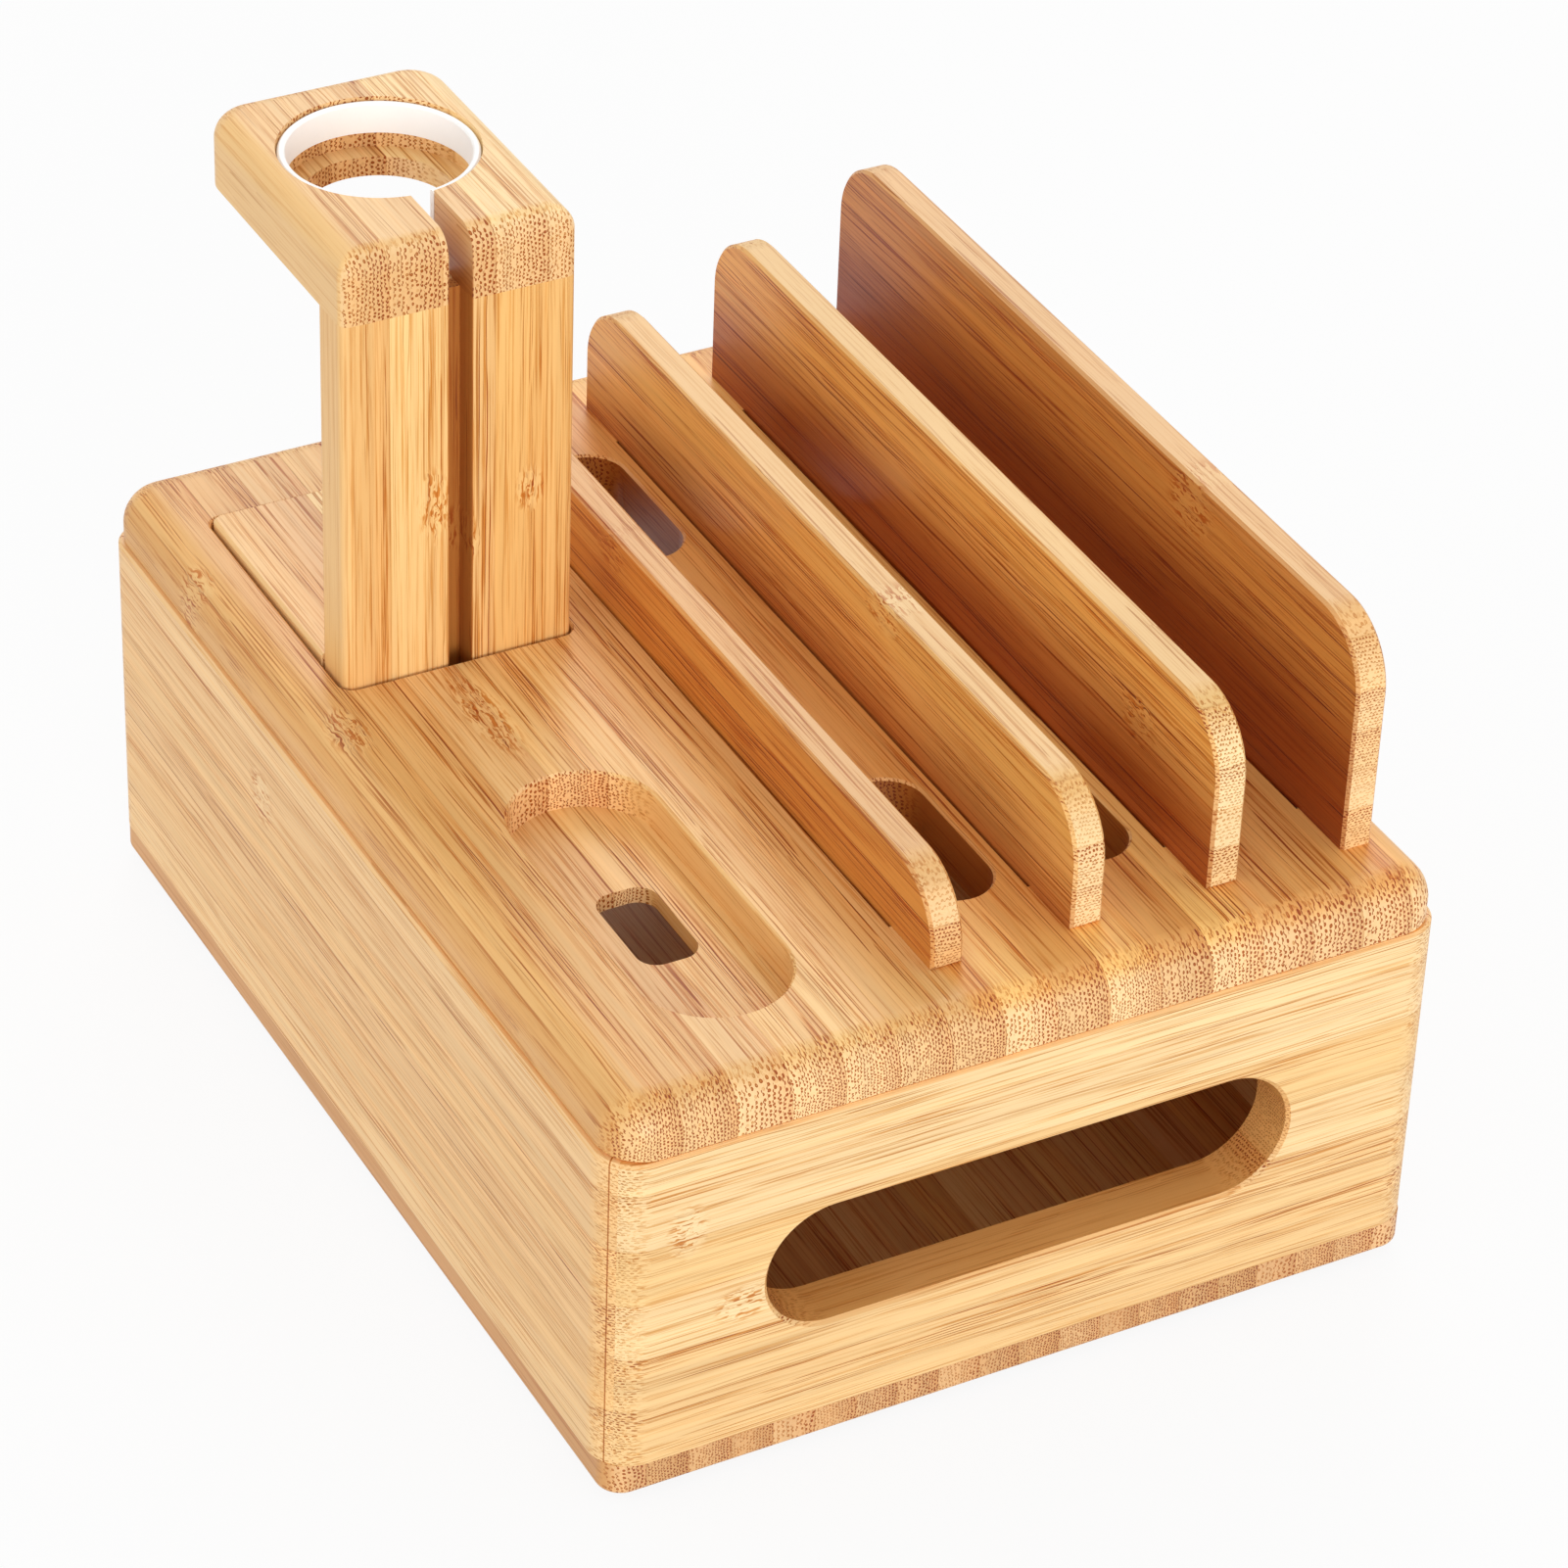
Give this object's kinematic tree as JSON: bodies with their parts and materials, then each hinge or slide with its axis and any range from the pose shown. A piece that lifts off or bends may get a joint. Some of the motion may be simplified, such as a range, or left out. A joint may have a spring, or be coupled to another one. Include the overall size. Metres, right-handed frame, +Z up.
{
  "type": "charging station organizer",
  "caption": "Bamboo desktop charging station: a cord box under a lift-off lid with upright device dividers, an earbud case recess and a lift-out watch charger stand.",
  "frame": {"origin": "centre of the footprint, on the surface that the foot pads rest on", "axes": "+Z up, +X along the long side towards the earbud case recess, +Y from the watch stand's side (the front) to the tallest divider (the back)"},
  "size_m": [0.191, 0.144, 0.1529],
  "materials": {
    "bamboo": "satin lacquered bamboo",
    "dowel_wood": "plain hardwood",
    "steel": "zinc plated",
    "foot_rubber": "matt",
    "silicone": "matt white silicone"
  },
  "bodies": {
    "cord_box": {"bottom_board": "bamboo", "front_wall": "bamboo", "back_wall": "bamboo", "left_wall": "bamboo", "right_wall": "bamboo", "base_screws": "steel", "foot_pad_front_left": "foot_rubber", "foot_pad_front_right": "foot_rubber", "foot_pad_back_left": "foot_rubber", "foot_pad_back_right": "foot_rubber"},
    "lid": {"lid_board": "bamboo", "left_batten": "bamboo", "right_batten": "bamboo", "front_divider": "bamboo", "second_divider": "bamboo", "third_divider": "bamboo", "back_divider": "bamboo"},
    "stand": {"stand_base": "bamboo", "stand_post": "bamboo", "stand_head": "bamboo", "head_dowels": "dowel_wood", "foot_dowels": "dowel_wood"},
    "ring": {"watch_ring": "silicone"}
  },
  "joints": [
    {"name": "lid_lift", "type": "slide", "parent": "cord_box", "child": "lid", "axis": [0, 0, 1], "range_m": [0, 0.06]},
    {"name": "stand_lift", "type": "slide", "parent": "lid", "child": "stand", "axis": [0, 0, 1], "range_m": [0, 0.03]},
    {"name": "ring_pull", "type": "slide", "parent": "stand", "child": "ring", "axis": [0, 0, 1], "range_m": [0, 0.012]}
  ]
}
